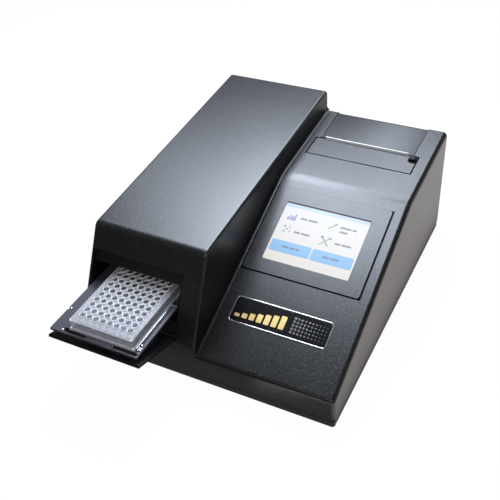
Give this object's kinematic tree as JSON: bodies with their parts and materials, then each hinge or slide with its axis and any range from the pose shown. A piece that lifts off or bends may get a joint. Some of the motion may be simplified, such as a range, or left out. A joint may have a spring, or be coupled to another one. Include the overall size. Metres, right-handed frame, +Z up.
{
  "type": "microplate reader",
  "caption": "Bench-top microplate reader with a plate carrier slid out under an open flap, a sloping touch screen and a built-in paper-roll printer.",
  "frame": {"origin": "centre of the bounding box, on the plane of the feet", "axes": "+X to the right seen from the front, +Y to the back, +Z up"},
  "size_m": [0.324, 0.4632, 0.1811],
  "materials": {
    "case_shell": "fine textured",
    "inner_moulding": "matte",
    "painted_steel": "satin",
    "soft_rubber": "matte",
    "bright_steel": "satin",
    "satin_black": "satin",
    "touch_glass": "clear",
    "display_metal": "satin",
    "chrome_trim": "polished",
    "gloss_black": "gloss",
    "head_ceramic": "satin",
    "white_paper": "matte",
    "motor_black": "satin",
    "white_nylon": "satin",
    "bush_bronze": "satin",
    "clear_plate": "clear",
    "bare_aluminium": "satin",
    "lens_glass": "clear",
    "anodised_black": "satin",
    "filter_glass": "coated",
    "circuit_board": "solder mask"
  },
  "bodies": {
    "case": {"cover": "case_shell", "flap_frame": "inner_moulding", "screen_frame": "inner_moulding", "base_pan": "painted_steel", "rear_panel": "painted_steel", "feet": "soft_rubber", "case_screws": "bright_steel", "flap_pin": "bright_steel", "flap_spring": "bright_steel", "screen_bezel": "case_shell", "touch_panel": "touch_glass", "lcd_module": "display_metal", "badge_rim": "chrome_trim", "badge_plate": "gloss_black", "printer_tub": "inner_moulding", "tear_panel": "case_shell", "print_head": "head_ceramic", "roll_spindle": "satin_black", "paper_strip": "white_paper", "feed_motor": "motor_black", "lid_pin": "bright_steel", "guide_rods": "bright_steel", "rod_brackets": "bare_aluminium", "drive_belt": "soft_rubber", "drive_motor": "motor_black", "motor_bracket": "bare_aluminium", "idler_post": "bright_steel", "optics_bracket": "bare_aluminium", "lens_block": "inner_moulding", "lenses": "lens_glass", "light_guide": "inner_moulding", "wheel_bracket": "bare_aluminium", "wheel_motor": "motor_black", "lamp_housing": "bare_aluminium", "lamp": "lens_glass", "detector_board": "circuit_board", "main_board": "circuit_board", "power_supply": "display_metal", "board_posts": "bright_steel", "power_inlet": "satin_black", "switch_body": "satin_black", "data_ports": "bright_steel"},
    "carrier": {"carrier_plate": "satin_black", "carrier_bushes": "bush_bronze", "plate_clamp": "bright_steel", "locating_pins": "bright_steel", "belt_clamp": "satin_black", "microplate": "clear_plate"},
    "flap": {"flap": "satin_black"},
    "drive_pulley": {"drive_pulley": "bare_aluminium"},
    "idler_pulley": {"idler_pulley": "bare_aluminium"},
    "filter_wheel": {"filter_wheel": "anodised_black", "filter_set": "filter_glass"},
    "printer_lid": {"printer_lid": "case_shell"},
    "platen": {"platen_roller": "soft_rubber", "platen_gear": "white_nylon"},
    "feed_gear": {"feed_gear": "white_nylon"},
    "paper_roll": {"paper_roll": "white_paper"},
    "release_button": {"release_button": "satin_black"},
    "power_rocker": {"power_rocker": "satin_black"}
  },
  "joints": [
    {"name": "carrier_slide", "type": "slide", "parent": "case", "child": "carrier", "axis": [0, 1, 0], "range_m": [0, 0.19]},
    {"name": "flap_hinge", "type": "hinge", "parent": "case", "child": "flap", "pos_m": [-0.092, -0.15907, 0.05921], "axis": [1, 0, 0], "range_deg": [-97.91, 0]},
    {"name": "drive_pulley_spin", "type": "hinge", "parent": "case", "child": "drive_pulley", "pos_m": [-0.025, 0.14857, 0.064], "axis": [0, 0, 1], "range_deg": [-2178.24, 1]},
    {"name": "idler_pulley_spin", "type": "hinge", "parent": "case", "child": "idler_pulley", "pos_m": [-0.025, -0.12143, 0.064], "axis": [0, 0, 1], "range_deg": [-2178.24, 1]},
    {"name": "filter_wheel_spin", "type": "hinge", "parent": "case", "child": "filter_wheel", "pos_m": [-0.067, 0.12257, 0.129], "axis": [0, 1, 0], "continuous": true},
    {"name": "printer_lid_hinge", "type": "hinge", "parent": "case", "child": "printer_lid", "pos_m": [0.07375, 0.22457, 0.14543], "axis": [-1, 0, 0], "range_deg": [0, 80]},
    {"name": "platen_spin", "type": "hinge", "parent": "printer_lid", "child": "platen", "pos_m": [0.07375, 0.17194, 0.13732], "axis": [1, 0, 0], "continuous": true},
    {"name": "feed_gear_spin", "type": "hinge", "parent": "case", "child": "feed_gear", "pos_m": [0.01375, 0.17328, 0.12017], "axis": [1, 0, 0], "continuous": true},
    {"name": "paper_roll_spin", "type": "hinge", "parent": "case", "child": "paper_roll", "pos_m": [0.07375, 0.18878, 0.11457], "axis": [1, 0, 0], "continuous": true},
    {"name": "release_button_press", "type": "slide", "parent": "case", "child": "release_button", "axis": [0, 0.0777, -0.997], "range_m": [0, 0.0025], "stiffness_N_per_m": 400},
    {"name": "power_rocker_tilt", "type": "hinge", "parent": "case", "child": "power_rocker", "pos_m": [0.082, 0.22507, 0.026], "axis": [1, 0, 0], "range_deg": [-14, 0]}
  ],
  "couplings": [
    {"joint": "flap_hinge", "follows": "carrier_slide", "rad_per_m": -8.9939},
    {"joint": "platen_spin", "follows": "paper_roll_spin", "ratio": 3.6667},
    {"joint": "feed_gear_spin", "follows": "paper_roll_spin", "ratio": -2.1728},
    {"joint": "drive_pulley_spin", "follows": "carrier_slide", "rad_per_m": -200},
    {"joint": "idler_pulley_spin", "follows": "carrier_slide", "rad_per_m": -200}
  ]
}
